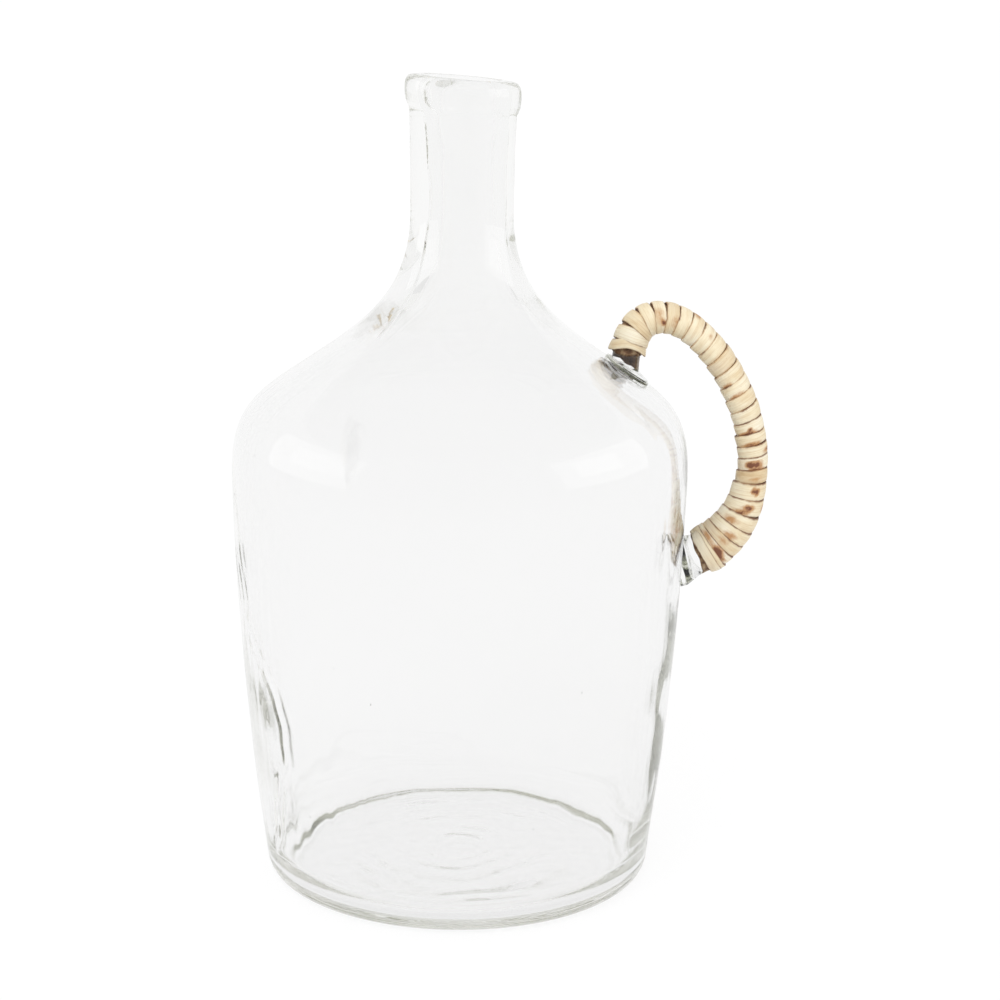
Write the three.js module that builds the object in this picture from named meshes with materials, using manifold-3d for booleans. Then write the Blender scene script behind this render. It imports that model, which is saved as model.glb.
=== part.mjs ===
// A large hand-blown glass water jug. A clear glass bottle with a flat base and a thick-walled neck carries an
// applied lip, which slopes a little, and a pulled glass handle that is pressed on to the shoulder and the side
// through two glass pads. Flat rattan cane is wound round the handle over a thin brown lining, in three lengths.
//
// Millimetres, +Z up. The origin is the centre of the flat underside, Z is the bottle's axis, and the handle lies
// on the +X side, in the XZ plane.
import * as THREE from "three";
import { mergeVertices } from "three/addons/utils/BufferGeometryUtils.js";
import Module from "manifold-3d";

const wasm = await Module();
wasm.setup();

// ---- Driving dimensions ----

const gap = 0.3; // left between neighbouring pieces

// Bottle: outside
const footRadius = 83; // flat ring and disc that the jug stands on
const heelRadius = 92.6;
const heelHeight = 9;
const bodyRadius = 107.2; // widest, at widestHeight
const widestHeight = 190;
const shoulderRadius = 84; // where the round shoulder runs into its straight slope
const shoulderHeight = 240;
const slopeEndRadius = 66.4; // where the slope starts to turn up into the neck
const slopeEndHeight = 252;
const flareRadius = 36; // half way up the turn from the slope into the neck
const flareHeight = 278.2;
const neckRadius = 23.8;
const neckStartHeight = 318;
const neckEndRadius = 24.6;
const neckEndHeight = 377;

// Bottle: inside
const boreRadius = 11.4;
const mouthRadius = 13.4;
const throatRadius = 20; // where the bore opens into the shoulder
const throatHeight = 284;
const wall = 3.6;
const floorHeight = 4.5; // at the foot of the inner wall
const floorRise = 3; // how far the middle of the floor is domed up
const rippleHeight = 0.5; // concentric rings pressed into the floor
const rippleCount = 4;

// Lip
const lipRadius = 26;
const lipSeatRadius = 20.5; // the neck's end, inside the lip
const lipBottom = 364.6;
const lipTop = 378;
const mouthSlope = THREE.MathUtils.degToRad(4.3); // the mouth is lower on the handle's side
const slopeFrom = 335; // the neck is true below this

// Handle
const rodRadius = 4.9; // along the grip
const rodRadiusUpper = 6.5;
const rodRadiusLower = 9.2;
const liningThickness = 0.5;
const caneClearance = 0.6; // the stiff cane stands off the lining on the bends
const caneThickness = 1.1;
const canePitch = 6.25;
const caneWidth = 5.75;
const windingStart = 11; // along the handle's centre line, from the shoulder
const windingEnd = 10.5; // left bare at the lower end
const turnsUpper = 16.6; // of the first length of cane; the next length takes turnsMiddle
const turnsMiddle = 4;
const spliceGap = 0.012; // of a turn, between one length and the next

// Fineness
const roundSegments = 44;
const curveSteps = 5;
const rodSegments = 12;
const rodSteps = 30; // along the wound part of the handle
const turnSteps = 13;

// ---- Materials ----

const clearGlass = new THREE.MeshStandardMaterial({ color: 0xf1f3ee, roughness: 0.03, metalness: 0 });
const rattan = new THREE.MeshStandardMaterial({ color: 0xe2cda6, roughness: 0.55, metalness: 0 });
const brownPaper = new THREE.MeshStandardMaterial({ color: 0x4a2f1c, roughness: 0.8, metalness: 0 });

// ---- Geometry helpers ----

function smooth(x) {
  return THREE.MathUtils.smoothstep(x, 0, 1);
}

// Moves every vertex of a geometry to the place that move gives for it.
function moveVertices(geometry, move) {
  const position = geometry.getAttribute("position");
  const point = new THREE.Vector3();
  for (let i = 0; i < position.count; i++) {
    point.fromBufferAttribute(position, i);
    position.setXYZ(i, ...move(point));
  }
  return geometry;
}

// A body of revolution about Z from a profile of (radius, height) points, which starts and ends on the axis or
// closes on itself.
function revolve(profile, segments = roundSegments) {
  return new THREE.LatheGeometry(profile, segments).rotateX(Math.PI / 2);
}

function toSolid(geometry) {
  const bare = geometry.clone();
  bare.deleteAttribute("normal");
  bare.deleteAttribute("uv");
  const merged = mergeVertices(bare, 1e-3);
  return new wasm.Manifold(
    new wasm.Mesh({
      numProp: 3,
      vertProperties: merged.getAttribute("position").array,
      triVerts: new Uint32Array(merged.index.array),
    }),
  );
}

function toGeometry(solid) {
  const mesh = solid.getMesh();
  return new THREE.BufferGeometry()
    .setAttribute("position", new THREE.BufferAttribute(new Float32Array(mesh.vertProperties), 3))
    .setIndex(new THREE.BufferAttribute(new Uint32Array(mesh.triVerts), 1));
}

function makeMesh(name, geometry, material) {
  const mesh = new THREE.Mesh(geometry, material);
  mesh.name = name;
  return mesh;
}

// ---- Bottle ----

// The outside of the bottle from the centre of its underside to the end of the neck.
function outerOutline() {
  return new THREE.Path()
    .moveTo(0, 0)
    .lineTo(footRadius, 0)
    .quadraticCurveTo(heelRadius - 1.4, 0, heelRadius, heelHeight)
    .quadraticCurveTo(bodyRadius - 2.4, (heelHeight + widestHeight) / 2, bodyRadius, widestHeight)
    .bezierCurveTo(bodyRadius + 0.6, widestHeight + 28, shoulderRadius + 19, shoulderHeight - 13,
      shoulderRadius, shoulderHeight)
    .lineTo(slopeEndRadius, slopeEndHeight)
    .bezierCurveTo(slopeEndRadius - 11.7, slopeEndHeight + 8, flareRadius + 7.8, flareHeight - 10.2,
      flareRadius, flareHeight)
    .bezierCurveTo(flareRadius - 7.8, flareHeight + 10.2, neckRadius, neckStartHeight - 17,
      neckRadius, neckStartHeight)
    .lineTo(neckRadius + 0.2, slopeFrom)
    .lineTo((neckRadius + neckEndRadius) / 2, (slopeFrom + neckEndHeight) / 2)
    .lineTo(neckEndRadius, lipBottom - gap)
    .lineTo(lipSeatRadius, lipBottom - gap)
    .lineTo(lipSeatRadius, neckEndHeight - 2)
    .quadraticCurveTo(lipSeatRadius, neckEndHeight, lipSeatRadius - 2.5, neckEndHeight);
}

// The inside of the bottle from the mouth down to the floor's middle. The wall is even up to the slope, and then
// thickens into the neck.
function innerOutline() {
  const innerRadius = bodyRadius - wall;
  const floorEdge = footRadius - 9;
  const outline = new THREE.Path()
    .moveTo(mouthRadius + 2, neckEndHeight)
    .quadraticCurveTo(mouthRadius, neckEndHeight, mouthRadius, neckEndHeight - 4)
    .lineTo((mouthRadius + boreRadius) / 2, (slopeFrom + neckEndHeight) / 2)
    .lineTo(boreRadius, slopeFrom)
    .bezierCurveTo(boreRadius, slopeFrom - 32, throatRadius - 6.6, throatHeight + 9.6,
      throatRadius, throatHeight)
    .bezierCurveTo(throatRadius + 6.6, throatHeight - 9.6, slopeEndRadius - 24, slopeEndHeight + 11,
      slopeEndRadius - 2, slopeEndHeight - 4)
    .lineTo(shoulderRadius - 2, shoulderHeight - 4)
    .bezierCurveTo(shoulderRadius + 15.6, shoulderHeight - 16, innerRadius + 0.6, widestHeight + 26,
      innerRadius, widestHeight)
    .quadraticCurveTo(innerRadius - 2.4, (heelHeight + widestHeight) / 2, heelRadius - wall + 0.8, heelHeight + 14)
    .quadraticCurveTo(heelRadius - wall - 1, floorHeight, floorEdge, floorHeight);
  const floorSteps = 3 * rippleCount;
  for (let i = floorSteps - 1; i >= 0; i--) {
    const share = i / floorSteps;
    const dome = floorRise * (1 - share ** 2);
    const ripple = -rippleHeight * Math.sin(2 * Math.PI * rippleCount * share);
    outline.lineTo(floorEdge * share, floorHeight + dome + ripple);
  }
  return outline;
}

// The mouth slopes down towards the handle; the neck eases into that slope.
function slopeMouth(geometry) {
  return moveVertices(geometry, ({ x, y, z }) => {
    const share = smooth((z - slopeFrom) / (lipBottom - slopeFrom));
    return [x, y, z - x * Math.tan(mouthSlope) * share];
  });
}

function blownBody() {
  const profile = [...outerOutline().getPoints(curveSteps), ...innerOutline().getPoints(curveSteps)];
  return slopeMouth(revolve(profile));
}

// A solid bottle, grown by the gap, that cuts what is pressed on to the glass.
function bodyCutter() {
  const points = outerOutline().getPoints(curveSteps);
  const grown = points.map((point, i) => {
    const before = points[Math.max(i - 1, 0)];
    const after = points[Math.min(i + 1, points.length - 1)];
    const along = after.clone().sub(before).normalize();
    return new THREE.Vector2(Math.max(point.x + along.y * gap, 0), point.y - along.x * gap);
  });
  grown[0].x = 0;
  grown.push(new THREE.Vector2(0, grown.at(-1).y));
  return toSolid(revolve(grown));
}

// A thick thread of glass laid round the end of the neck.
function lipRing() {
  const inside = lipSeatRadius + gap;
  const profile = new THREE.Path()
    .moveTo(inside, lipBottom)
    .lineTo(lipRadius - 2, lipBottom)
    .quadraticCurveTo(lipRadius, lipBottom + 0.6, lipRadius, lipBottom + 4)
    .lineTo(lipRadius, lipTop - 5)
    .quadraticCurveTo(lipRadius, lipTop, lipRadius - 3.2, lipTop)
    .quadraticCurveTo(inside, lipTop, inside, lipTop - 2);
  const points = profile.getPoints(4);
  points.push(points[0].clone());
  return slopeMouth(revolve(points));
}

// ---- Handle ----

// The centre line, from inside the shoulder's glass up, over and down to the side.
const handleLine = new THREE.CurvePath();
const linePoint = (x, z) => new THREE.Vector3(x, 0, z);
handleLine.add(new THREE.CubicBezierCurve3(
  linePoint(76.5, 241), linePoint(76.5, 258), linePoint(80, 270), linePoint(93, 270)));
handleLine.add(new THREE.CubicBezierCurve3(
  linePoint(93, 270), linePoint(113, 270), linePoint(138.3, 232), linePoint(138.3, 201)));
handleLine.add(new THREE.CubicBezierCurve3(
  linePoint(138.3, 201), linePoint(138.3, 182), linePoint(131, 160), linePoint(103.5, 153)));
const handleLength = handleLine.getLength();
const windingTo = handleLength - windingEnd;

function rodRadiusAt(along) {
  const share = along / handleLength;
  return rodRadius
    + (rodRadiusUpper - rodRadius) * (1 - smooth(share / 0.3))
    + (rodRadiusLower - rodRadius) * smooth((share - 0.64) / 0.3);
}

// Takes a place given by distance along the handle, angle and radius to the part's frame. Angle 0 faces away from
// the bottle, and the angle turns clockwise seen from the shoulder's end.
function onHandle(along, angle, radius) {
  const share = THREE.MathUtils.clamp(along / handleLength, 0, 1);
  const centre = handleLine.getPointAt(share);
  const tangent = handleLine.getTangentAt(share);
  const outward = new THREE.Vector3(-tangent.z, 0, tangent.x);
  const sideways = new THREE.Vector3(0, -1, 0);
  return centre
    .addScaledVector(outward, radius * Math.cos(angle))
    .addScaledVector(sideways, radius * Math.sin(angle));
}

// Bends a straight body, which stands on the origin along Z, on to the handle's centre line.
function bendToHandle(geometry) {
  return moveVertices(geometry, ({ x, y, z }) => onHandle(z, Math.atan2(y, x), Math.hypot(x, y)));
}

// A straight round body along Z, from one distance along the handle to another, this far outside the rod.
function sleeveProfile(from, to, steps, proud) {
  const points = [];
  for (let i = 0; i <= steps; i++) {
    const along = THREE.MathUtils.lerp(from, to, i / steps);
    points.push(new THREE.Vector2(rodRadiusAt(along) + proud, along));
  }
  return points;
}

// A low round pad of glass on the bottle, whose middle is at (x, z) and which faces along the angle above +X.
function padSolid(x, z, angle, radius, height, grow = 0) {
  const depth = 6; // reaches into the glass, to be cut by it
  const top = height + grow;
  const side = radius + grow;
  const profile = new THREE.Path()
    .moveTo(0, -depth)
    .lineTo(side, -depth)
    .lineTo(side, top * 0.25)
    .quadraticCurveTo(side, top, side * 0.72, top)
    .lineTo(0, top);
  const geometry = revolve(profile.getPoints(4), 24);
  geometry.rotateY(Math.PI / 2 - angle);
  geometry.translate(x, 0, z);
  return toSolid(geometry);
}

const upperPadPlace = [77.3, 244, THREE.MathUtils.degToRad(55.7)];
const upperPadSize = [12, 3.6];
const lowerPadPlace = [105.6, 152.8, THREE.MathUtils.degToRad(-3)];
const lowerPadSize = [13.2, 2.6];

function handlePad(place, size) {
  return toGeometry(padSolid(...place, ...size).subtract(bodyCutter()));
}

function handleRod() {
  const profile = [
    new THREE.Vector2(0, 0),
    ...sleeveProfile(0, windingStart, 2, 0),
    ...sleeveProfile(windingStart, windingTo, rodSteps, 0).slice(1),
    ...sleeveProfile(windingTo, handleLength, 2, 0).slice(1),
    new THREE.Vector2(0, handleLength),
  ];
  const rod = toSolid(bendToHandle(revolve(profile, rodSegments)))
    .subtract(bodyCutter())
    .subtract(padSolid(...upperPadPlace, ...upperPadSize, gap))
    .subtract(padSolid(...lowerPadPlace, ...lowerPadSize, gap));
  return toGeometry(rod);
}

// ---- Winding ----

function lining() {
  const inside = sleeveProfile(windingStart, windingTo, rodSteps, gap);
  const outside = sleeveProfile(windingStart, windingTo, rodSteps, gap + liningThickness);
  const profile = [...outside, ...inside.reverse(), outside[0].clone()];
  return bendToHandle(revolve(profile, rodSegments));
}

// One length of cane: a flat strip, wound on from one turn to another. It is extruded straight, along its winding
// angle, and then wound round the handle.
function caneStrip(fromTurn, toTurn) {
  const section = new THREE.Shape()
    .moveTo(0, 0)
    .lineTo(caneWidth, 0)
    .lineTo(caneWidth, caneThickness)
    .lineTo(0, caneThickness)
    .closePath();
  const strip = new THREE.ExtrudeGeometry(section, {
    depth: toTurn - fromTurn,
    steps: Math.round((toTurn - fromTurn) * turnSteps),
    bevelEnabled: false,
  });
  return moveVertices(strip, ({ x: across, y: proud, z: wound }) => {
    const turn = fromTurn + wound;
    const along = windingStart + across + canePitch * turn;
    const onLining = rodRadiusAt(along) + gap + liningThickness;
    return onHandle(along, 2 * Math.PI * turn, onLining + caneClearance + proud);
  });
}

// ---- Assembly ----

const jug = new THREE.Group();
jug.add(makeMesh("blown_body", blownBody(), clearGlass));
jug.add(makeMesh("lip_ring", lipRing(), clearGlass));
jug.add(makeMesh("handle_rod", handleRod(), clearGlass));
jug.add(makeMesh("upper_pad", handlePad(upperPadPlace, upperPadSize), clearGlass));
jug.add(makeMesh("lower_pad", handlePad(lowerPadPlace, lowerPadSize), clearGlass));
jug.add(makeMesh("handle_lining", lining(), brownPaper));

const allTurns = (windingTo - windingStart - caneWidth) / canePitch;
const turnsToLower = turnsUpper + turnsMiddle;
jug.add(makeMesh("cane_strip_upper", caneStrip(0, turnsUpper - spliceGap), rattan));
jug.add(makeMesh("cane_strip_middle", caneStrip(turnsUpper, turnsToLower - spliceGap), rattan));
jug.add(makeMesh("cane_strip_lower", caneStrip(turnsToLower, allTurns), rattan));

export default jug;
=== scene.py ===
import bmesh
import bpy
import math
import numpy as np
import random
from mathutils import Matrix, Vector, noise

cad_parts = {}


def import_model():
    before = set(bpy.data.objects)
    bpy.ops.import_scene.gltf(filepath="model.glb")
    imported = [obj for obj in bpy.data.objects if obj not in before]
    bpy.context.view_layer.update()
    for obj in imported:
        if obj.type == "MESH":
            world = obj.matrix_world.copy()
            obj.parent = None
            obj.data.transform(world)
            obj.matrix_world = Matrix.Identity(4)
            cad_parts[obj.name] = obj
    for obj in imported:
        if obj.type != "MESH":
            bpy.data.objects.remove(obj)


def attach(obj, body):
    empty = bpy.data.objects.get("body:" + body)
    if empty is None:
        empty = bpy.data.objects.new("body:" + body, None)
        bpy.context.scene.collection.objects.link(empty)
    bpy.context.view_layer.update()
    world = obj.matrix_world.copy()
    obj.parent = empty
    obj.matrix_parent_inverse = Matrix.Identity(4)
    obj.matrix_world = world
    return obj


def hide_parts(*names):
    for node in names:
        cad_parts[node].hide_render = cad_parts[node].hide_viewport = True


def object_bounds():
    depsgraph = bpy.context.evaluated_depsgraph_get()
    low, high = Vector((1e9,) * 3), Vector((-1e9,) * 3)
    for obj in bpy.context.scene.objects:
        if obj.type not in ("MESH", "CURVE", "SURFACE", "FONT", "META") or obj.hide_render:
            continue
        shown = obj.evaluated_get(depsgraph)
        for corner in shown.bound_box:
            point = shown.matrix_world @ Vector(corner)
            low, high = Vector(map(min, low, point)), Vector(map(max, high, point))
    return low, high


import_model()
cad_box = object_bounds()

MM = 0.001
rng = random.Random(11)

# ---------------------------------------------------------------- dimensions, in mm

FOOT_R, HEEL_R, HEEL_Z = 83.0, 92.6, 9.0
BODY_R, WIDEST_Z = 107.2, 190.0
SHOULDER_R, SHOULDER_Z = 84.0, 240.0
SLOPE_R, SLOPE_Z = 66.4, 252.0
FLARE_R, FLARE_Z = 36.0, 278.2
NECK_R, NECK_Z = 23.8, 318.0
NECK_END_R = 24.6
FLARE_DR, FLARE_DZ = 7.8, 10.2  # reach of the flare's tangent, to either side
WALL = 3.6
BORE_R, BORE_Z = 11.4, 333.0
MOUTH_R = 13.4
THROAT_R, THROAT_Z = 20.0, 284.0
THROAT_DR, THROAT_DZ = 6.6, 9.6  # reach of the throat's tangent, to either side
SLOPE_IN_R, SLOPE_IN_Z = SLOPE_R - 2, SLOPE_Z - 4  # the inside of the slope, lower than the outside
SHOULDER_IN_R, SHOULDER_IN_Z = SHOULDER_R - 2, SHOULDER_Z - 4
FOOT_IN_R, FOOT_IN_Z = HEEL_R - WALL + 0.8, HEEL_Z + 14  # where the inside starts to round into the floor
LIP_R, LIP_BOTTOM, LIP_TOP = 26.5, 363.6, 378.2
LIP_TURN_R = LIP_R - 4.2  # where the lip turns inwards
MOUTH_SLOPE = math.radians(4.3)
SLOPE_FROM = 335.0
FLOOR_Z, FLOOR_RISE = 4.5, 3.0
FLOOR_EDGE_R = FOOT_R - 9
SEEDS = 16  # small bubbles in the wall

ROD_R, ROD_R_UPPER, ROD_R_LOWER = 4.9, 6.5, 9.2
WIND_FROM, WIND_END = 11.0, 10.5
ROD_SPREAD, SPREAD_LENGTH = 3.6, 5.0  # the foot of the rod, pressed on to the side
# x and z on the centre line of the handle
HANDLE_START, HANDLE_TOP, HANDLE_OUT, HANDLE_END = (76.5, 241), (93, 270), (138.3, 201), (103.5, 153)
LINING_T = 0.85  # room for the lining between rod and cane
CANE_T, CANE_MIN_W = 0.95, 5.2
STEPS_PER_TURN = 56
PAD_SUNK = 4.5  # how deep the pad reaches into the wall
ROUND_ROD = 48  # vertices round the rod and its lining
ROUND_PAD = 64
CREASE_CORNER = math.radians(38)  # glass edges sharper than this are shaded as corners


def smooth(x):
    x = np.clip(x, 0.0, 1.0)
    return x * x * (3 - 2 * x)


def bump(d, width):
    return np.exp(-((d / width) ** 2))


def fbm(points, octaves=2):
    """Smooth noise from -1 to 1 at each point of an (n, 3) array."""
    out = np.zeros(len(points))
    for i, p in enumerate(points):
        v, a = Vector(p), 1.0
        for _ in range(octaves):
            out[i] += a * noise.noise(v)
            v, a = v * 2.1, a * 0.5
    return out


# ---------------------------------------------------------------- mesh helpers


def new_object(name, verts, faces, material=None):
    mesh = bpy.data.meshes.new(name)
    mesh.from_pydata([tuple(v) for v in verts], [], [tuple(f) for f in faces])
    mesh.validate()
    mesh.update()
    mesh.polygons.foreach_set("use_smooth", [True] * len(mesh.polygons))
    obj = bpy.data.objects.new(name, mesh)
    bpy.context.scene.collection.objects.link(obj)
    if material:
        mesh.materials.append(material)
    return obj


def grid_faces(rows, cols):
    """Quads of a grid of vertices, row by row. Each row closes on itself."""
    faces = []
    for i in range(rows - 1):
        for j in range(cols):
            k = (j + 1) % cols
            a, b = i * cols, (i + 1) * cols
            faces.append((a + j, a + k, b + k, b + j))
    return faces


def bezier(n, *ctrl, last=False):
    """n points along a Bezier curve of any order, without its end unless last."""
    t = np.linspace(0, 1, n + 1)[:, None]
    pts = [np.array(c, float)[None, :] * np.ones_like(t) for c in ctrl]
    while len(pts) > 1:
        pts = [a * (1 - t) + b * t for a, b in zip(pts, pts[1:])]
    return pts[0] if last else pts[0][:-1]


# ---------------------------------------------------------------- bottle


def outer_outline():
    """Radius and height up the outside, from the foot to the top of the lip."""
    mid_z = (HEEL_Z + WIDEST_Z) / 2
    return np.concatenate([
        bezier(10, (0.6, 0.0), (40, 0.0), (FOOT_R, 0.0)),
        bezier(12, (FOOT_R, 0), (HEEL_R - 1.4, 0), (HEEL_R, HEEL_Z)),
        bezier(46, (HEEL_R, HEEL_Z), (BODY_R - 2.4, mid_z), (BODY_R, WIDEST_Z)),
        bezier(26, (BODY_R, WIDEST_Z), (BODY_R + 0.6, WIDEST_Z + 28), (SHOULDER_R + 19, SHOULDER_Z - 13),
               (SHOULDER_R, SHOULDER_Z)),
        bezier(7, (SHOULDER_R, SHOULDER_Z), (SLOPE_R, SLOPE_Z)),
        bezier(16, (SLOPE_R, SLOPE_Z), (SLOPE_R - 11.7, SLOPE_Z + 8),
               (FLARE_R + FLARE_DR, FLARE_Z - FLARE_DZ), (FLARE_R, FLARE_Z)),
        bezier(20, (FLARE_R, FLARE_Z), (FLARE_R - FLARE_DR, FLARE_Z + FLARE_DZ), (NECK_R, NECK_Z - 17),
               (NECK_R, NECK_Z)),
        bezier(18, (NECK_R, NECK_Z), (NECK_R, 342), (NECK_END_R, LIP_BOTTOM - 1.2)),
        bezier(7, (NECK_END_R, LIP_BOTTOM - 1.2), (NECK_END_R + 0.1, LIP_BOTTOM),
               (LIP_R - 1.0, LIP_BOTTOM + 1.6)),
        bezier(7, (LIP_R - 1.0, LIP_BOTTOM + 1.6), (LIP_R - 0.2, LIP_BOTTOM + 2.8),
               (LIP_R, LIP_BOTTOM + 8)),
        bezier(12, (LIP_R, LIP_BOTTOM + 8), (LIP_R + 0.1, LIP_TOP - 2.2), (LIP_R - 1.2, LIP_TOP - 0.4),
               (LIP_TURN_R, LIP_TOP)),
    ])


def inner_outline():
    """Radius and height down the inside, from the top of the lip to the middle of the floor."""
    inner_r = BODY_R - WALL
    mid_z = (HEEL_Z + WIDEST_Z) / 2
    walls = np.concatenate([
        bezier(12, (LIP_TURN_R, LIP_TOP), (LIP_R - 7.5, LIP_TOP + 0.6), (MOUTH_R, LIP_TOP - 0.6),
               (MOUTH_R, LIP_TOP - 7)),
        bezier(14, (MOUTH_R, LIP_TOP - 7), (MOUTH_R - 0.2, 352), (BORE_R, 350), (BORE_R, BORE_Z)),
        bezier(20, (BORE_R, BORE_Z), (BORE_R, BORE_Z - 30), (THROAT_R - THROAT_DR, THROAT_Z + THROAT_DZ),
               (THROAT_R, THROAT_Z)),
        bezier(24, (THROAT_R, THROAT_Z), (THROAT_R + THROAT_DR, THROAT_Z - THROAT_DZ),
               (SLOPE_R - 24, SLOPE_Z + 11), (SLOPE_IN_R, SLOPE_IN_Z)),
        bezier(7, (SLOPE_IN_R, SLOPE_IN_Z), (SHOULDER_IN_R, SHOULDER_IN_Z)),
        bezier(22, (SHOULDER_IN_R, SHOULDER_IN_Z), (SHOULDER_R + 15.6, SHOULDER_Z - 16),
               (inner_r + 0.6, WIDEST_Z + 26), (inner_r, WIDEST_Z)),
        bezier(56, (inner_r, WIDEST_Z), (inner_r - 2.4, mid_z), (FOOT_IN_R, FOOT_IN_Z)),
        bezier(16, (FOOT_IN_R, FOOT_IN_Z), (HEEL_R - WALL - 1, FLOOR_Z), (FLOOR_EDGE_R, FLOOR_Z)),
    ])
    share = np.linspace(1, 0.01, 74)
    floor = np.stack([FLOOR_EDGE_R * share, FLOOR_Z + FLOOR_RISE * (1 - share**2)], 1)
    return np.concatenate([walls, floor])


# Azimuth runs from the handle (+X) anticlockwise seen from above, so the front is at 270 degrees.
# A fold low in the wall: its height, and its degrees round from the left, towards the front.
CREASE = [(165, 5), (154, 6.8), (137, 11.5), (123, 22), (112, 29.5), (101, 36.2), (84, 36.8), (67, 36),
          (48, 30), (12, 21.8)]
CORDS = [  # depth of a thin groove down the neck, its heights and its azimuths in degrees
    (0.75, (262, 280, 299, 330, 364), (222, 225.8, 228.5, 233.7, 224.5)),
    (0.16, (276, 300, 330, 362), (330, 327, 326.5, 328)),
]
FINE_DEGREES = ((184, 246), (324, 332))
LAP_AZIMUTH = math.radians(236)  # where the thread of glass that makes the lip overlaps itself


def azimuths():
    """Evenly spread, and closer together where the fold, the grooves and the lip's overlap need it."""
    deg, out = 0.0, []
    while deg < 359.9:
        out.append(deg)
        fine = any(first <= deg < end for first, end in FINE_DEGREES)
        deg += 0.5 if fine else 1.6
    return np.radians(out)


def ring_points(outline, phi):
    r, z = outline[:, 0][:, None], outline[:, 1][:, None]
    p = phi[None, :]
    return r * np.ones_like(p), z * np.ones_like(p), p * np.ones_like(r)


def cylinder_noise(phi, z, round_mm, along_mm, seed, octaves=2):
    """Noise over the wall: about round_mm across and along_mm tall."""
    k = 100.0 / round_mm  # 100 mm is near the radius of the wall
    pts = np.stack([np.cos(phi) * k, np.sin(phi) * k, z / along_mm + seed], -1).reshape(-1, 3)
    return fbm(pts, octaves).reshape(phi.shape)


def shape_outer(r, z, phi):
    """Small unevenness of the outside of the blown wall."""
    on_body = smooth((z - 4) / 40) * (1 - smooth((z - 225) / 40))
    on_neck = smooth((z - 270) / 20) * (1 - smooth((z - 355) / 10))
    dr = on_body * (0.35 * np.sin(2 * phi + 0.7) + 0.22 * np.sin(3 * phi - 1.9 + z / 90))
    dr = dr + on_body * 0.35 * cylinder_noise(phi, z, 70, 60, 3.0)
    dr = dr + on_neck * 0.22 * cylinder_noise(phi, z, 160, 25, 9.0)
    heel = bump(z - 4, 9) * (r > FOOT_R)
    dr = dr + heel * 0.5 * np.sin(2 * phi + 2.0)
    for depth, heights, degrees in CORDS:
        at = np.radians(np.interp(z, heights, degrees)) + 0.012 * np.sin(z / 5.0)
        length = smooth((z - heights[0]) / 8) * (1 - smooth((z - heights[-1] + 6) / 6))
        dr = dr - length * depth * bump((phi - at) * r, 0.42)
    # the lip's thread, its overlap and the notch below it
    lip = smooth((z - LIP_BOTTOM + 1) / 2) * (r > LIP_R - 6)
    dr = dr + lip * (0.35 * np.sin(phi * 2 + 0.4) + 0.2 * np.sin(5 * phi))
    arc = (phi - LAP_AZIMUTH) * LIP_R
    mid = (LIP_BOTTOM + LIP_TOP) / 2
    bend = 2.6 * (1 - ((z - mid) / 6.5) ** 2)
    fold = arc + bend - 1.0
    dr = dr + lip * (-1.0 * bump(fold, 0.7) + 0.55 * bump(fold - 2.0, 1.4) + 0.35 * bump(fold + 2.2, 1.8))
    return dr


def shape_inner(r, z, phi):
    """Larger unevenness of the inside: waves, vertical cords and the fold at the left."""
    on_wall = smooth((z - 20) / 20) * (1 - smooth((z - 225) / 30))
    on_neck = smooth((z - 262) / 15)
    dr = on_wall * (0.7 * cylinder_noise(phi, z, 60, 50, 21.0)
                    + 0.10 * cylinder_noise(phi, z, 12, 160, 31.0))
    dr = dr + on_wall * 0.4 * np.sin(phi + 2.2)
    dr = dr + on_neck * (0.55 * cylinder_noise(phi, z, 200, 16, 41.0)
                         + 0.12 * cylinder_noise(phi, z, 60, 40, 51.0))
    heights = np.array([c[0] for c in CREASE][::-1], float)
    degrees = np.array([c[1] for c in CREASE][::-1], float)
    at = np.radians(180 + np.interp(z, heights, degrees))
    wander = 1.3 * np.sin(z / 7.0) + 0.8 * np.sin(z / 3.1 + 1)
    d = (phi - at) * r + wander
    strength = smooth((z - 8) / 25) * (1 - smooth((z - 150) / 20)) * (0.75 + 0.25 * np.sin(z / 11.0))
    on_side = (r > FOOT_R) & (z < 200)
    dr = dr + on_side * strength * (0.42 * bump(d, 2.0) - 0.26 * bump(d - 3.8, 2.6))
    return dr


def floor_ripple(r, phi):
    """Rings left in the thick floor, broken up round the base."""
    x, y = r * np.cos(phi), r * np.sin(phi)
    pts = np.stack([x / 45, y / 45, 0 * x + 5.0], -1).reshape(-1, 3)
    drift = fbm(pts, 2).reshape(r.shape)
    pts = np.stack([x / 16, y / 16, 0 * x + 15.0], -1).reshape(-1, 3)
    fine = fbm(pts, 2).reshape(r.shape)
    fade = smooth(r / 12) * (1 - smooth((r - 66) / 10))
    ripple = np.sin(2 * math.pi * r / 13.0 + 5.0 * drift)
    return fade * (0.38 * ripple * (0.5 + 0.9 * drift) + 0.26 * fine) + 0.3 * drift


def off_centre(z):
    """How far the bore lies towards the handle."""
    return 1.7 * smooth((z - 250) / 40) * (1 - 0.4 * smooth((z - 340) / 25))


def slope_mouth(x, z):
    """Height, with the top of the neck sheared so that the mouth rises away from the handle."""
    return z - x * math.tan(MOUTH_SLOPE) * smooth((z - SLOPE_FROM) / (LIP_BOTTOM - SLOPE_FROM))


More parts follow.
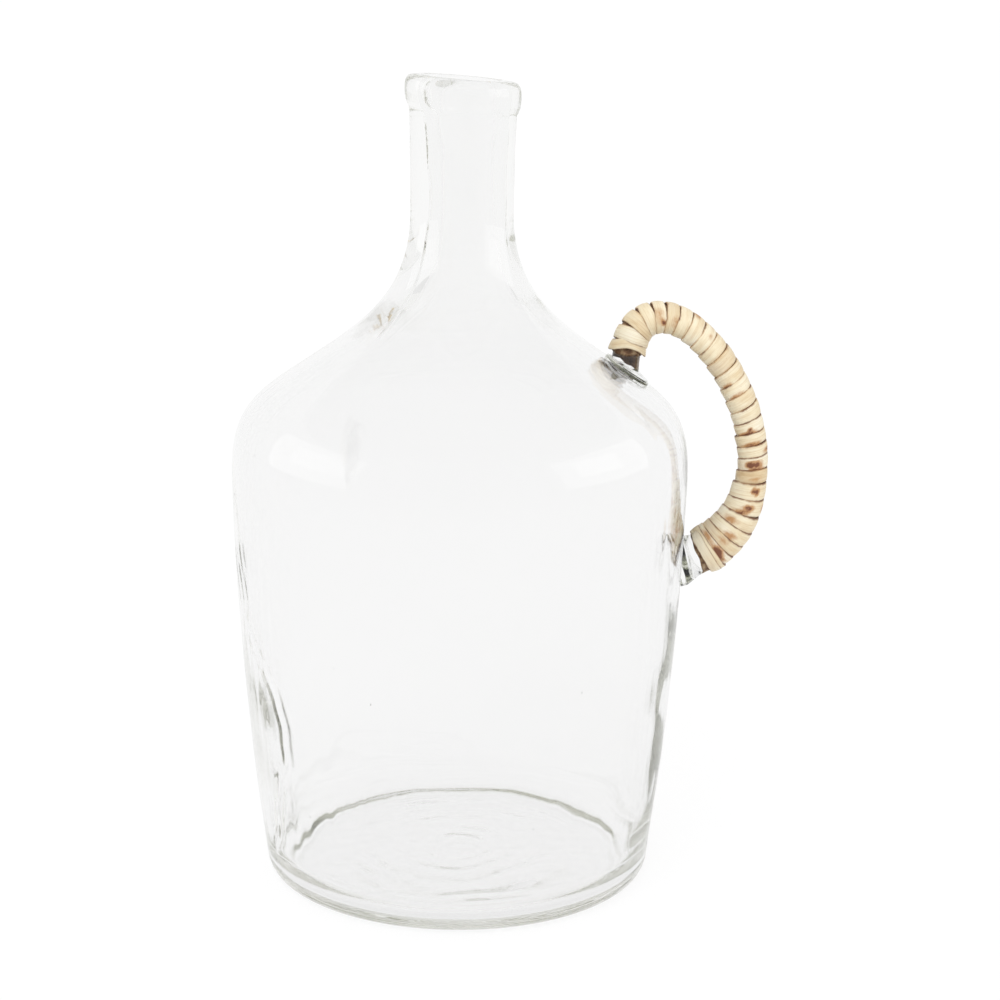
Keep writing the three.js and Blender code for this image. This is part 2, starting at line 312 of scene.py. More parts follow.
def bottle_mesh():
    phi = azimuths()
    rows = []
    outer = outer_outline()
    r, z, p = ring_points(outer, phi)
    r = r + shape_outer(r, z, p)
    x, y = r * np.cos(p), r * np.sin(p)
    rows.append(np.stack([x, y, slope_mouth(x, z)], -1))
    inner = inner_outline()
    r, z, p = ring_points(inner, phi)
    share = smooth((LIP_TOP - 2 - z) / 4)
    dr = share * shape_inner(r, z, p)
    dz = np.where(z < FLOOR_Z + FLOOR_RISE + 0.1, floor_ripple(r, p), 0.0) * (r < FLOOR_EDGE_R)
    r = r + dr * (r > 8)
    x, y = r * np.cos(p) + share * off_centre(z), r * np.sin(p) + share * 0.4 * smooth((z - 250) / 40)
    z = z + dz
    rows.append(np.stack([x, y, slope_mouth(x, z)], -1))
    grid = np.concatenate(rows)
    n_rows, n_cols = grid.shape[:2]
    verts = list(grid.reshape(-1, 3) * MM)
    faces = grid_faces(n_rows, n_cols)
    bottom, middle = len(verts), len(verts) + 1
    verts.append(np.array([0, 0, 0.0]))
    verts.append(grid[-1].mean(0) * MM)
    last = (n_rows - 1) * n_cols
    for j in range(n_cols):
        k = (j + 1) % n_cols
        faces.append((bottom, k, j))
        faces.append((last + j, last + k, middle))
    return verts, faces


# ---------------------------------------------------------------- handle line

LINE = np.concatenate([
    bezier(500, HANDLE_START, (76.5, 258), (80, 270), HANDLE_TOP),
    bezier(500, HANDLE_TOP, (113, 270), (138.3, 232), HANDLE_OUT),
    bezier(500, HANDLE_OUT, (138.3, 182), (131, 160), HANDLE_END, last=True),
])
LINE_S = np.concatenate([[0], np.cumsum(np.linalg.norm(np.diff(LINE, axis=0), axis=1))])
LENGTH = LINE_S[-1]
WIND_TO = LENGTH - WIND_END


def line_at(s):
    """Centre (x, z) and unit tangent at a distance along the handle. Past its ends it runs straight."""
    s = np.asarray(s, float)
    inside = np.clip(s, 0.5, LENGTH - 0.5)
    x, z = np.interp(inside, LINE_S, LINE[:, 0]), np.interp(inside, LINE_S, LINE[:, 1])
    h = 0.5
    tx = np.interp(inside + h, LINE_S, LINE[:, 0]) - np.interp(inside - h, LINE_S, LINE[:, 0])
    tz = np.interp(inside + h, LINE_S, LINE[:, 1]) - np.interp(inside - h, LINE_S, LINE[:, 1])
    n = np.hypot(tx, tz)
    tx, tz = tx / n, tz / n
    return x + (s - inside) * tx, z + (s - inside) * tz, tx, tz


def rod_radius(s):
    """Radius of the rod, which is thicker towards both ends."""
    share = np.asarray(s) / LENGTH
    return (ROD_R + (ROD_R_UPPER - ROD_R) * (1 - smooth(share / 0.3))
            + (ROD_R_LOWER - ROD_R) * smooth((share - 0.64) / 0.3))


def on_handle(s, angle, radius):
    """Places in mm. Angle 0 faces away from the bottle and turns towards the front (-Y)."""
    x, z, tx, tz = line_at(s)
    nx, nz = -tz, tx
    return np.stack([x + radius * np.cos(angle) * nx, -radius * np.sin(angle) + 0 * x,
                     z + radius * np.cos(angle) * nz], -1)


def rod_mesh():
    """The pulled glass rod. Its ends reach into the wall, and its foot spreads where it was pressed on."""
    s = np.concatenate([np.linspace(-0.6, 12, 16), np.linspace(14, LENGTH - 14, 80),
                        np.linspace(LENGTH - 13, LENGTH + 1.0, 22)])
    phi = np.linspace(0, 2 * math.pi, ROUND_ROD, endpoint=False)
    S, P = np.meshgrid(s, phi, indexing="ij")
    r = rod_radius(S) + 0.12 * np.sin(S / 9) + 0.1 * np.sin(2 * P + S / 20)
    r = r + ROD_SPREAD * np.exp(-(np.maximum(LENGTH - 1.5 - S, 0) / SPREAD_LENGTH) ** 1.5)
    grid = on_handle(S, P, r)
    verts = list(grid.reshape(-1, 3) * MM)
    faces = [f[::-1] for f in grid_faces(len(s), len(phi))]
    first, end = len(verts), len(verts) + 1
    verts += [grid[0].mean(0) * MM, grid[-1].mean(0) * MM]
    last = (len(s) - 1) * len(phi)
    for j in range(len(phi)):
        k = (j + 1) % len(phi)
        faces.append((first, j, k))
        faces.append((end, last + k, last + j))
    return verts, faces


def pad_mesh(x, z, degrees, radius, height, rise, seed):
    """A pressed disc of glass facing along an angle above +X, with a soft edge that isn't quite round."""
    profile = np.concatenate([
        bezier(3, (0.3, -PAD_SUNK), (radius - 0.6, -PAD_SUNK)),
        bezier(4, (radius - 0.6, -PAD_SUNK), (radius, -0.6)),
        bezier(14, (radius, -0.6), (radius + 0.1, height), (radius * 0.82, height)),
        bezier(14, (radius * 0.82, height), (radius * 0.66, height), (radius * 0.56, height + rise)),
        bezier(4, (radius * 0.56, height + rise), (0.3, height + rise), last=True),
    ])
    phi = np.linspace(0, 2 * math.pi, ROUND_PAD, endpoint=False)
    R, P = profile[:, 0][:, None] * np.ones(ROUND_PAD), phi[None, :] * np.ones((len(profile), 1))
    H = profile[:, 1][:, None] * np.ones(ROUND_PAD)
    R = R * (1 + 0.025 * np.sin(2 * P + seed) + 0.015 * np.sin(5 * P + 2 * seed))
    a = math.radians(degrees)
    u, v = R * np.cos(P), R * np.sin(P)
    grid = np.stack([x + H * math.cos(a) - u * math.sin(a), v, z + H * math.sin(a) + u * math.cos(a)], -1)
    verts = list(grid.reshape(-1, 3) * MM)
    faces = grid_faces(len(profile), ROUND_PAD)
    first, end = len(verts), len(verts) + 1
    verts += [grid[0].mean(0) * MM, grid[-1].mean(0) * MM]
    last = (len(profile) - 1) * ROUND_PAD
    for j in range(ROUND_PAD):
        k = (j + 1) % ROUND_PAD
        faces.append((first, k, j))
        faces.append((end, last + j, last + k))
    return verts, faces


def outward(obj):
    """Turns the faces of a closed mesh outwards."""
    bm = bmesh.new()
    bm.from_mesh(obj.data)
    bmesh.ops.recalc_face_normals(bm, faces=bm.faces)
    if bm.calc_volume(signed=True) < 0:
        bmesh.ops.reverse_faces(bm, faces=bm.faces)
    bm.to_mesh(obj.data)
    bm.free()


def fuse(target, other):
    """Joins another closed body to the target, so that no glass surface is left inside the glass."""
    mod = target.modifiers.new("fuse", "BOOLEAN")
    mod.operation, mod.solver, mod.object = "UNION", "EXACT", other
    dg = bpy.context.evaluated_depsgraph_get()
    mesh = bpy.data.meshes.new_from_object(target.evaluated_get(dg))
    old = target.data
    target.modifiers.clear()
    target.data = mesh
    bpy.data.meshes.remove(old)
    bpy.data.objects.remove(other)


def add_seeds(obj):
    """Small bubbles, drawn out upwards, inside the wall."""
    bm = bmesh.new()
    bm.from_mesh(obj.data)
    for _ in range(SEEDS):
        z = rng.uniform(35, 215)
        a = rng.uniform(0, 2 * math.pi)
        r = np.interp(z, [20, 100, 190, 215], [94.2, 102.3, BODY_R, 105.2]) - WALL * 0.5
        size = rng.uniform(0.12, 0.28)
        tall = size * rng.uniform(1.2, 3.2)
        ball = bmesh.ops.create_icosphere(bm, subdivisions=2, radius=1.0)["verts"]
        faces = {f for v in ball for f in v.link_faces}
        for v in ball:
            x, y, h = v.co.x * size, v.co.y * size, v.co.z * tall
            v.co = Vector(((r + x) * math.cos(a) - y * math.sin(a), (r + x) * math.sin(a) + y * math.cos(a),
                           z + h)) * MM
        bmesh.ops.reverse_faces(bm, faces=list(faces))
    bm.to_mesh(obj.data)
    bm.free()


# ---------------------------------------------------------------- materials


def material(name):
    mat = bpy.data.materials.new(name)
    mat.use_nodes = True
    nt = mat.node_tree
    return mat, nt, nt.nodes["Principled BSDF"], nt.nodes["Material Output"]


def node(nt, kind, **values):
    n = nt.nodes.new(kind)
    for key, value in values.items():
        if key in n.inputs.keys():
            n.inputs[key].default_value = value
        else:
            setattr(n, key, value)
    return n


def ramp(nt, factor, *stops):
    n = nt.nodes.new("ShaderNodeValToRGB")
    n.color_ramp.elements[0].position, n.color_ramp.elements[0].color = stops[0][0], (*stops[0][1], 1)
    n.color_ramp.elements[1].position, n.color_ramp.elements[1].color = stops[-1][0], (*stops[-1][1], 1)
    for position, colour in stops[1:-1]:
        e = n.color_ramp.elements.new(position)
        e.color = (*colour, 1)
    nt.links.new(factor, n.inputs[0])
    return n.outputs[0]


def mix(nt, factor, a, b, blend="MIX"):
    n = nt.nodes.new("ShaderNodeMix")
    n.data_type, n.blend_type = "RGBA", blend
    for socket, value in ((n.inputs[0], factor), (n.inputs[6], a), (n.inputs[7], b)):
        if isinstance(value, bpy.types.NodeSocket):
            nt.links.new(value, socket)
        else:
            socket.default_value = value if isinstance(value, float) else (*value, 1)
    return n.outputs[2]


def maths(nt, operation, a, b=None, c=None):
    n = nt.nodes.new("ShaderNodeMath")
    n.operation = operation
    for socket, value in ((n.inputs[0], a), (n.inputs[1], b), (n.inputs[2], c)):
        if isinstance(value, bpy.types.NodeSocket):
            nt.links.new(value, socket)
        elif value is not None:
            socket.default_value = value
    return n.outputs[0]


def stretched(nt, source, scale):
    n = nt.nodes.new("ShaderNodeMapping")
    n.inputs["Scale"].default_value = scale
    nt.links.new(source, n.inputs["Vector"])
    return n.outputs[0]


def noise_tex(nt, vector, scale, detail, rough):
    n = node(nt, "ShaderNodeTexNoise", Scale=scale, Detail=detail, Roughness=rough)
    nt.links.new(vector, n.inputs["Vector"])
    return n.outputs[0]


def bump_node(nt, height, strength, distance):
    n = node(nt, "ShaderNodeBump", Strength=strength, Distance=distance)
    nt.links.new(height, n.inputs["Height"])
    return n.outputs[0]


# painted shade: a grey taken off the light at each surface of the glass, so the whole jug reads darker,
# standing in for the dim surroundings the glass mirrors
GLASS_PASSES_PAINTED_SHADE = (0.962, 0.962, 0.962, 1)  # at each surface
GLASS_TINT = (0.70, 0.705, 0.62, 1)  # slightly olive, seen where the way through the glass is long
GLASS_TINT_DENSITY = 2.2


def make_glass():
    mat, nt, bsdf, out = material("jug_glass")
    # the base colour is the painted shade of the grey above
    bsdf.inputs["Base Color"].default_value = GLASS_PASSES_PAINTED_SHADE
    bsdf.inputs["Roughness"].default_value = 0.0
    bsdf.inputs["IOR"].default_value = 1.5
    bsdf.inputs["Transmission Weight"].default_value = 1.0
    coords = nt.nodes.new("ShaderNodeTexCoord").outputs["Object"]
    waves = noise_tex(nt, stretched(nt, coords, (1, 1, 0.35)), 60.0, 2.0, 0.45)
    nt.links.new(bump_node(nt, waves, 0.06, 0.002), bsdf.inputs["Normal"])
    tint = node(nt, "ShaderNodeVolumeAbsorption", Color=GLASS_TINT, Density=GLASS_TINT_DENSITY)
    nt.links.new(tint.outputs[0], out.inputs["Volume"])
    return mat


def make_cane():
    mat, nt, bsdf, _ = material("jug_cane")
    uv = nt.nodes.new("ShaderNodeUVMap")
    uv.uv_map = "strip"
    strip = uv.outputs[0]  # x runs along the strip in cm, and y across it from 0 to 1
    fibre = noise_tex(nt, stretched(nt, strip, (0.5, 15, 1)), 1.0, 4.0, 0.6)
    broad = noise_tex(nt, stretched(nt, strip, (0.55, 1.3, 1)), 1.0, 4.0, 0.6)
    turn = noise_tex(nt, stretched(nt, strip, (0.16, 0.1, 1)), 1.0, 1.0, 0.4)
    pale = ramp(nt, broad, (0.28, (0.55, 0.37, 0.18)), (0.40, (0.75, 0.59, 0.36)),
                (0.54, (0.88, 0.79, 0.58)), (0.70, (0.94, 0.89, 0.74)))
    tone = ramp(nt, turn, (0.36, (0.66, 0.49, 0.28)), (0.47, (0.82, 0.69, 0.46)),
                (0.56, (0.89, 0.80, 0.60)), (0.66, (0.94, 0.89, 0.76)))
    base = mix(nt, 0.5, pale, tone)
    grain = ramp(nt, fibre, (0.30, (0.66, 0.47, 0.29)), (0.52, (1, 1, 1)))
    colour = mix(nt, 0.5, base, grain, "MULTIPLY")
    # the cut edges: a thin tan line, dark brown in places, more so towards the handle's lower end
    separate = nt.nodes.new("ShaderNodeSeparateXYZ")
    nt.links.new(strip, separate.inputs[0])
    aged = nt.nodes.new("ShaderNodeAttribute")
    aged.attribute_name = "aged"
    off_middle = maths(nt, "ABSOLUTE", maths(nt, "MULTIPLY_ADD", separate.outputs[1], 2.0, -1.0))
    ragged = noise_tex(nt, stretched(nt, strip, (2.2, 1.5, 1)), 1.0, 3.0, 0.6)
    reach = maths(nt, "MULTIPLY_ADD", maths(nt, "SUBTRACT", ragged, 0.5), 0.45, off_middle)
    tan_edge = ramp(nt, reach, (0.84, (0, 0, 0)), (1.0, (1, 1, 1)))
    colour = mix(nt, maths(nt, "MULTIPLY", tan_edge, 0.8), colour, (0.42, 0.22, 0.09))
    dirt = noise_tex(nt, stretched(nt, strip, (0.75, 0.35, 1)), 1.0, 2.0, 0.55)
    dirt = maths(nt, "MULTIPLY_ADD", aged.outputs["Fac"], 0.15, dirt)
    dirt = ramp(nt, dirt, (0.52, (0, 0, 0)), (0.62, (1, 1, 1)))
    dark_edge = ramp(nt, reach, (0.74, (0, 0, 0)), (0.95, (1, 1, 1)))
    darkened = maths(nt, "MULTIPLY", maths(nt, "MULTIPLY", dark_edge, dirt), 0.85)
    colour = mix(nt, darkened, colour, (0.16, 0.055, 0.020))
    # scars, each placed on the mesh, with a dark core in an ochre halo
    stain = nt.nodes.new("ShaderNodeAttribute")
    stain.attribute_name = "stain"
    blotch = noise_tex(nt, stretched(nt, strip, (4.5, 3.2, 1)), 1.0, 4.0, 0.65)
    mark = maths(nt, "MULTIPLY", stain.outputs["Fac"], maths(nt, "MULTIPLY", blotch, 2.0))
    halo = ramp(nt, mark, (0.12, (0, 0, 0)), (0.55, (0.85, 0.85, 0.85)))
    core = ramp(nt, mark, (0.62, (0, 0, 0)), (1.0, (0.9, 0.9, 0.9)))
    colour = mix(nt, halo, colour, (0.47, 0.21, 0.06))
    colour = mix(nt, core, colour, (0.15, 0.038, 0.014))
    specks = noise_tex(nt, stretched(nt, strip, (7.0, 7.0, 1)), 1.0, 2.0, 0.5)
    speck = ramp(nt, specks, (0.72, (0, 0, 0)), (0.78, (1, 1, 1)))
    colour = mix(nt, maths(nt, "MULTIPLY", speck, 0.5), colour, (0.34, 0.15, 0.06))
    nt.links.new(colour, bsdf.inputs["Base Color"])
    rough = ramp(nt, fibre, (0.3, (0.62, 0.62, 0.62)), (0.7, (0.42, 0.42, 0.42)))
    nt.links.new(rough, bsdf.inputs["Roughness"])
    height = mix(nt, 0.35, fibre, broad)
    nt.links.new(bump_node(nt, height, 0.4, 0.0004), bsdf.inputs["Normal"])
    return mat


def make_lining():
    mat, nt, bsdf, _ = material("jug_lining")
    coords = nt.nodes.new("ShaderNodeTexCoord").outputs["Object"]
    blots = noise_tex(nt, coords, 260.0, 4.0, 0.6)
    fine = noise_tex(nt, coords, 1400.0, 3.0, 0.6)
    colour = ramp(nt, blots, (0.30, (0.045, 0.018, 0.008)), (0.48, (0.15, 0.075, 0.032)),
                  (0.60, (0.33, 0.22, 0.12)), (0.74, (0.55, 0.45, 0.32)))
    nt.links.new(colour, bsdf.inputs["Base Color"])
    nt.links.new(ramp(nt, fine, (0.3, (0.55,) * 3), (0.7, (0.85,) * 3)), bsdf.inputs["Roughness"])
    nt.links.new(bump_node(nt, mix(nt, 0.5, blots, fine), 0.6, 0.0005), bsdf.inputs["Normal"])
    return mat


SWEEP_GLOW = 0.90
MIRRORED_DIM = 0.04, 0.16  # taken off the glow where the glass mirrors it, at the back and at the front
BENT_DIM = 0.22  # the same where the glass bends it, at the furthest front only


def make_stage():
    mat, nt, bsdf, _ = material("studio_sweep")
    bsdf.inputs["Base Color"].default_value = (0.12, 0.12, 0.12, 1)
    bsdf.inputs["Roughness"].default_value = 0.9
    bsdf.inputs["Specular IOR Level"].default_value = 0.0
    bsdf.inputs["Emission Color"].default_value = (1, 1, 1, 1)
    # The sweep is bright in itself. What the glass mirrors or bends of it is dimmer towards the front.
    path = nt.nodes.new("ShaderNodeLightPath").outputs
    mirrored = maths(nt, "MINIMUM", path["Glossy Depth"], 1.0)
    separate = nt.nodes.new("ShaderNodeSeparateXYZ")
    nt.links.new(nt.nodes.new("ShaderNodeTexCoord").outputs["Object"], separate.inputs[0])
    forward = maths(nt, "MULTIPLY_ADD", separate.outputs[1], -0.2, 0.5)
    front = ramp(nt, forward, (0.35, (MIRRORED_DIM[0],) * 3), (0.9, (MIRRORED_DIM[1],) * 3))
    bent = maths(nt, "MINIMUM", path["Transmission Depth"], 1.0)
    flag = ramp(nt, forward, (0.90, (0.0,) * 3), (0.96, (BENT_DIM,) * 3))
    dim = maths(nt, "MAXIMUM", maths(nt, "MULTIPLY", mirrored, front), maths(nt, "MULTIPLY", bent, flag))
    nt.links.new(maths(nt, "SUBTRACT", SWEEP_GLOW, dim), bsdf.inputs["Emission Strength"])
    mat.cycles.emission_sampling = "NONE"
    return mat


# ---------------------------------------------------------------- winding

FIRST_TURN, LAST_TURN = -0.42, 27.45
SPLICES = (16.6, 20.6)
# Where turns lie: distance along the handle against turn number, closer at the first bend and the lower end.
TURN_AT = [(-0.5, 13.2), (0, 14.3), (1, 19.6), (2, 26.0), (5, 41.2), (8, 59.2), (11, 79.9), (15, 106.5),
           (18, 124.1), (20, 137.2), (21, 145.2), (23, 159.2), (25, 170.0), (26, 174.2), (27.5, 177.0)]
# Scars: turn, degrees from the outer side towards the front, place across the strip from -1 to 1,
# length in mm, half width as a share of the strip's, strength.
STAINS = [
    (2.0, 120, 0.8, 8, 0.4, 0.9), (4.0, 105, 0.3, 2.2, 0.35, 1.3), (4.0, 75, -0.2, 9, 0.9, 0.42),
    (5.0, 95, 0.5, 7, 0.7, 0.45), (11.0, 128, 0.85, 6, 0.35, 1.2), (12.0, 110, 0.8, 9, 0.3, 0.9),
    (15.0, 112, 0.8, 10, 0.35, 1.2), (15.0, 95, 0.2, 2.2, 0.3, 1.1), (16.0, 100, 0.7, 9, 0.35, 1.0),
    (18.0, 88, 0.1, 6.5, 0.5, 1.35), (18.0, 112, 0.0, 3.0, 0.3, 1.2), (18.0, 80, 0.9, 8, 0.3, 0.9),
    (19.0, 82, 0.3, 7, 0.35, 0.5), (20.0, 84, -0.3, 2.0, 0.35, 1.3), (20.0, 70, -0.1, 2.4, 0.4, 1.2),
    (21.0, 84, -0.1, 5.0, 0.4, 1.15), (21.0, 105, 0.6, 7, 0.35, 0.9), (22.0, 118, 0.1, 8, 0.5, 0.62),
    (23.0, 92, 0.3, 7, 0.5, 0.7), (24.0, 96, -0.2, 7, 0.5, 0.5), (25.0, 84, 0.0, 6.5, 0.75, 1.5),
    (25.0, 60, 0.4, 8, 0.4, 0.9), (25.0, 130, -0.4, 9, 0.4, 0.7), (8.0, 60, 0.3, 4, 0.4, 0.4),
    (3.0, 235, 0.2, 6, 0.4, 0.9), (6.0, 265, 0.7, 8, 0.35, 1.0), (9.0, 250, 0.0, 3, 0.4, 1.1),
    (11.0, 290, -0.7, 9, 0.35, 0.9), (14.0, 300, 0.2, 7, 0.4, 1.1), (19.0, 260, 0.5, 9, 0.4, 1.2),
    (22.0, 285, 0.1, 6, 0.4, 1.3), (24.0, 250, -0.5, 9, 0.4, 1.0), (13.0, 200, 0.5, 8, 0.4, 0.9),
    (17.0, 20, 0.3, 7, 0.4, 1.0), (21.0, 10, 0.0, 6, 0.4, 1.1), (7.0, 15, -0.4, 5, 0.4, 0.8),
]


def turn_position(turn):
    """Distance along the handle at a turn number, on a smooth curve through TURN_AT."""
    xs = np.array([t for t, _ in TURN_AT], float)
    ys = np.array([v for _, v in TURN_AT], float)
    slopes = np.gradient(ys, xs)
    i = np.clip(np.searchsorted(xs, turn, side="right") - 1, 0, len(xs) - 2)
    h = xs[i + 1] - xs[i]
    t = (turn - xs[i]) / h
    return ((2 * t**3 - 3 * t**2 + 1) * ys[i] + (t**3 - 2 * t**2 + t) * h * slopes[i]
            + (-2 * t**3 + 3 * t**2) * ys[i + 1] + (t**3 - t**2) * h * slopes[i + 1])


def curvature(s):
    """How sharply the handle bends, in radians per mm."""
    _, _, ax, az = line_at(np.asarray(s) - 1.0)
    _, _, bx, bz = line_at(np.asarray(s) + 1.0)
    return (ax * bz - az * bx) / -2.0


def cane_mesh(name, from_turn, to_turn, mat, seed):
    """One length of flat cane, wound on. On the inside of a bend each turn lies on the one before."""
    local = random.Random(seed)
    steps = int((to_turn - from_turn) * STEPS_PER_TURN)
    turn = np.linspace(from_turn, to_turn, steps + 1)
    phase = [local.uniform(0, 6.28) for _ in range(4)]
    angle = 2 * math.pi * turn
    centre = turn_position(turn)
    rod = rod_radius(centre) + LINING_T
    bend = curvature(centre) * (rod + 0.5)
    pitch = np.gradient(turn_position(turn), turn)
    lower_end = smooth((centre - 140) / 15)
    width = pitch * (1.02 + (0.42 + 0.5 * lower_end) * np.maximum(bend, 0))
    uneven = 1 + 0.03 * np.sin(turn * 1.9 + phase[0]) + 0.02 * np.sin(turn * 4.7 + phase[1])
    width = np.maximum(width, CANE_MIN_W) * uneven
    wobble = 0.16 * np.sin(turn * 2 * math.pi * 0.31 + phase[2]) + 0.12 * np.sin(turn * 5.1 + phase[3])
    # the first turn isn't wound flat
    centre = centre + 2.6 * bump(turn - 0.27, 0.14) - 1.3 * bump(turn - 0.52, 0.12)
    tail = np.minimum(turn - from_turn, to_turn - turn) / 0.06
    width = width * (0.6 + 0.4 * smooth(tail))
    # section: across from -1 to 1, and height from 0 (under) to 1 (over), round at the edges
    top = [(-1.0, 0.35), (-0.97, 0.72), (-0.88, 0.93), (-0.6, 1.05), (-0.2, 1.12), (0.2, 1.12), (0.6, 1.05),
           (0.88, 0.93), (0.97, 0.72), (1.0, 0.35)]
    under = [(0.95, 0.02), (0.4, 0.0), (-0.4, 0.0), (-0.95, 0.02)]
    section = np.array(top + under)
    U, H = section[:, 0][None, :], section[:, 1][None, :]
    A = angle[:, None] + 0 * U
    stretch = 1 + bend[:, None] * np.cos(A)
    spacing = pitch[:, None] * stretch
    crowd = np.clip((width[:, None] - spacing + 0.25) / 1.2, 0, 1)
    S = centre[:, None] + wobble[:, None] + 0.5 * width[:, None] * U / stretch
    tuck = 0.5 * bump(turn - to_turn, 0.3) * (to_turn < LAST_TURN)
    base = rod_radius(S) + LINING_T + crowd * CANE_T * 1.05 * (0.5 - 0.5 * U) + tuck[:, None]
    ripple = 0.05 * np.sin(turn * 37 + 2 * phase[1])[:, None]
    R = base + CANE_T * H + ripple
    grid = on_handle(S, A, R)
    n, m = grid.shape[:2]
    verts = list(grid.reshape(-1, 3) * MM)
    faces = grid_faces(n, m)
    faces.append(tuple(range(m))[::-1])
    faces.append(tuple((n - 1) * m + j for j in range(m)))
    obj = new_object(name, verts, faces, mat)
    mesh = obj.data
    outward(obj)
    length = np.concatenate([[0], np.cumsum(np.linalg.norm(np.diff(grid[:, 5], axis=0), axis=1))])
    u = np.repeat(length / 10 + seed * 13.7, m)
    v = np.tile(0.5 + 0.5 * section[:, 0], n)
    layer = mesh.uv_layers.new(name="strip")
    index = np.zeros(len(mesh.loops), dtype=int)
    mesh.loops.foreach_get("vertex_index", index)
    layer.data.foreach_set("uv", np.stack([u[index], v[index]], 1).ravel())
    stain = np.zeros(n * m)
    around, across = np.repeat(turn, m), np.tile(section[:, 0], n)
    radius = np.repeat(rod + CANE_T, m)
    for at_turn, degrees, place, size, half_width, strength in STAINS:
        arc = (around - at_turn - degrees / 360) * 2 * math.pi * radius
        stain = stain + strength * bump(arc, size * 0.5) * bump(across - place, half_width)
    for key, values in (("stain", stain), ("aged", np.repeat(smooth((centre - 85) / 45), m))):
        attribute = mesh.attributes.new(key, "FLOAT", "POINT")
        attribute.data.foreach_set("value", values)
    return obj


def lining_mesh(mat):
    """The brown paper glued on under the cane, as a closed tube. It shows through the rod's clear foot."""
    phi = np.linspace(0, 2 * math.pi, ROUND_ROD, endpoint=False)
    ragged = 0.35 * np.sin(3 * phi + 1) + 0.2 * np.sin(7 * phi)
    foot = 7.9 + 4.0 * np.cos(phi) + ragged
    start = WIND_FROM + 0.6 + ragged
    foot = np.minimum(foot, start - 0.4)
    end = WIND_TO + 0.4 + 1.0 * np.cos(phi) + ragged
    share = np.linspace(0, 1, 150)[:, None]
    skirt = np.linspace(0, 1, 12)[:, None]

    def ring(s, proud):
        ripple = 0.08 * np.sin(s * 1.7 + 2 * phi) + 0.06 * np.sin(s * 0.6 - 3 * phi)
        return on_handle(s, phi + 0 * s, rod_radius(s) + proud + ripple)

    outer = ring(start + (end - start) * share, 0.58)[::-1]
    outer_skirt = ring(foot + (start - foot) * skirt, -0.62)[::-1]
    along = foot + (end - foot) * share
    inner = ring(along, -1.1 + 1.4 * smooth((along - 26) / 6))
    grid = np.concatenate([outer, outer_skirt, inner])
    n, m = grid.shape[:2]
    faces = grid_faces(n, m)
    for j in range(m):
        k = (j + 1) % m
        faces.append(((n - 1) * m + j, (n - 1) * m + k, k, j))
    obj = new_object("handle_lining_sleeve", list(grid.reshape(-1, 3) * MM), faces, mat)
    outward(obj)
    return obj


# ---------------------------------------------------------------- assembly

glass, cane, lining = make_glass(), make_cane(), make_lining()

jug = new_object("jug_glass", *bottle_mesh())
outward(jug)
rod = new_object("rod", *rod_mesh())
outward(rod)
pad_data = pad_mesh(x=77.3, z=244, degrees=55.7, radius=12.0, height=2.3, rise=0.7, seed=0.4)
upper_pad = new_object("pad_a", *pad_data)
outward(upper_pad)
fuse(rod, upper_pad)
fuse(jug, rod)
add_seeds(jug)
jug.data.materials.clear()
jug.data.materials.append(glass)
jug.data.polygons.foreach_set("material_index", [0] * len(jug.data.polygons))
jug.data.polygons.foreach_set("use_smooth", [True] * len(jug.data.polygons))
jug.data.set_sharp_from_angle(angle=CREASE_CORNER)
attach(jug, "root")
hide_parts("blown_body", "lip_ring", "handle_rod", "upper_pad", "lower_pad")

sleeve = lining_mesh(lining)
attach(sleeve, "root")
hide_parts("handle_lining")

strips = [
    ("cane_upper_length", FIRST_TURN, SPLICES[0] + 0.05, "cane_strip_upper", 1),
    ("cane_middle_length", SPLICES[0] - 0.05, SPLICES[1] + 0.05, "cane_strip_middle", 2),
    ("cane_lower_length", SPLICES[1] - 0.05, LAST_TURN, "cane_strip_lower", 3),
]
for name, first, last, cad_node, seed in strips:
    strip = cane_mesh(name, first, last, cane, seed)
    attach(strip, "root")
    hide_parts(cad_node)


# ---------------------------------------------------------------- studio


# The sweep, in metres: how far it is flat, its wall, and its level just under the jug.
FLAT_R, SWEEP_R = 1.5, 2.5
BEND_TOP, SWEEP_TOP = 1.0, 2.2
SWEEP_Z = -0.0006
ROUND_SWEEP = 96

CAMERA_AWAY, CAMERA_UP, CAMERA_LEFT = 1.017, 0.422, 0.0031
CAMERA_DOWN, CAMERA_ROLL = 13.31, -0.66  # degrees
CAMERA_LENS = 79.34
GLASS_BOUNCES = 250  # light caught in the thick edges leaves them only after very many


def sweep():
    """A white floor that curves up into a wall all round."""
    outline = np.concatenate([
        bezier(24, (0.002, SWEEP_Z), (FLAT_R, SWEEP_Z)),
        bezier(24, (FLAT_R, SWEEP_Z), (SWEEP_R, SWEEP_Z), (SWEEP_R, BEND_TOP)),
        bezier(8, (SWEEP_R, BEND_TOP), (SWEEP_R, SWEEP_TOP), last=True),
    ])
    phi = np.linspace(0, 2 * math.pi, ROUND_SWEEP, endpoint=False)
    grid = np.stack([outline[:, :1] * np.cos(phi), outline[:, :1] * np.sin(phi),
                     outline[:, 1:] * np.ones(ROUND_SWEEP)], -1)
    verts = list(grid.reshape(-1, 3))
    faces = grid_faces(len(outline), ROUND_SWEEP)
    verts.append(np.array([0, 0, SWEEP_Z]))
    faces += [(len(verts) - 1, (j + 1) % ROUND_SWEEP, j) for j in range(ROUND_SWEEP)]
    obj = new_object("studio_floor", verts, [f[::-1] for f in faces], make_stage())


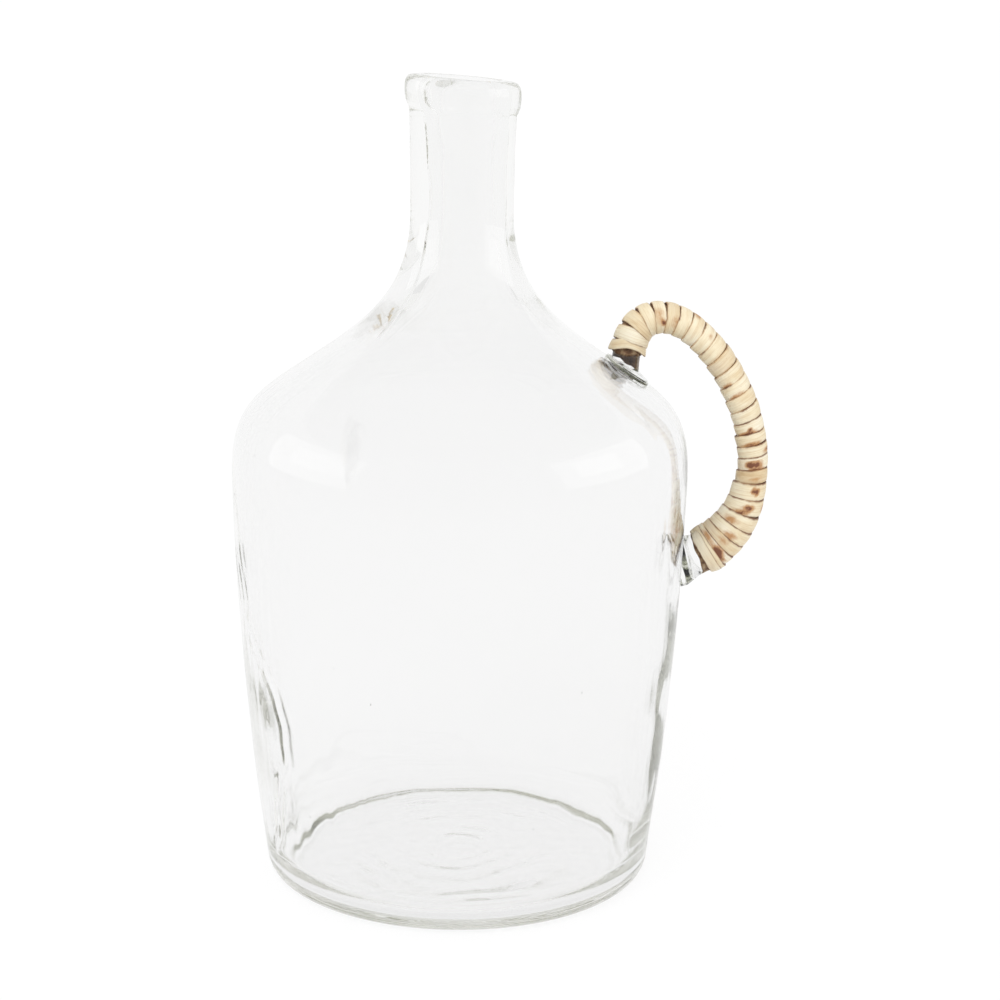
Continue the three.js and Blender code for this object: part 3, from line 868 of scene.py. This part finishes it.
def area_light(name, place, aim, size, power, mirrored):
    """A lamp that either lights the cane or is only seen mirrored in the glass."""
    data = bpy.data.lights.new(name, "AREA")
    data.shape, data.size, data.size_y = "RECTANGLE", size[0], size[1]
    data.energy = power
    obj = bpy.data.objects.new(name, data)
    obj.visible_glossy = mirrored
    obj.visible_diffuse = not mirrored
    obj.visible_transmission = False
    obj.location = place
    obj.rotation_euler = (Vector(aim) - Vector(place)).to_track_quat("-Z", "Y").to_euler()
    bpy.context.scene.collection.objects.link(obj)


def world(low, high):
    """Nearly white round the horizon, and a little darker overhead."""
    w = bpy.data.worlds.new("studio")
    bpy.context.scene.world = w
    w.use_nodes = True
    nt = w.node_tree
    background = nt.nodes["Background"]
    coords = nt.nodes.new("ShaderNodeTexCoord").outputs["Generated"]
    separate = nt.nodes.new("ShaderNodeSeparateXYZ")
    nt.links.new(coords, separate.inputs[0])
    colour = ramp(nt, separate.outputs[2], (0.30, low), (0.85, high))
    nt.links.new(colour, background.inputs[0])
    background.inputs[1].default_value = 1.0


sweep()
world((0.9, 0.9, 0.9), (0.8, 0.8, 0.8))
middle = Vector((0.0, 0.0, 0.19))
area_light("softbox_left", (-1.3, -0.25, 0.62), middle, (1.5, 0.8), 2.1, True)
area_light("softbox_left_core", (-1.2, -0.35, 0.62), middle, (0.8, 0.4), 0.35, True)
area_light("softbox_right", (1.3, -0.25, 0.62), middle, (1.4, 0.75), 1.9, True)
area_light("softbox_right_core", (1.2, -0.35, 0.62), middle, (0.6, 0.4), 0.35, True)
area_light("key", (-0.35, -1.1, 1.3), middle, (0.7, 0.7), 7.8, False)

# The camera stands about a metre away and looks a little down.
lo, hi = cad_box
camera_data = bpy.data.cameras.new("camera")
camera_data.sensor_width = 36.0
camera_data.lens = CAMERA_LENS
camera = bpy.data.objects.new("camera", camera_data)
bpy.context.scene.collection.objects.link(camera)
camera.location = ((lo.x + hi.x) / 2 - CAMERA_LEFT, -CAMERA_AWAY, CAMERA_UP)
camera.rotation_mode = "XYZ"
camera.rotation_euler = (math.radians(90 - CAMERA_DOWN), math.radians(CAMERA_ROLL), 0)
bpy.context.scene.camera = camera

scene = bpy.context.scene
scene.view_settings.view_transform = "Standard"
scene.cycles.max_bounces = GLASS_BOUNCES
scene.cycles.transmission_bounces = GLASS_BOUNCES
scene.cycles.glossy_bounces = GLASS_BOUNCES
scene.cycles.transparent_max_bounces = 16
scene.cycles.sample_clamp_indirect = 6.0

bpy.context.view_layer.update()
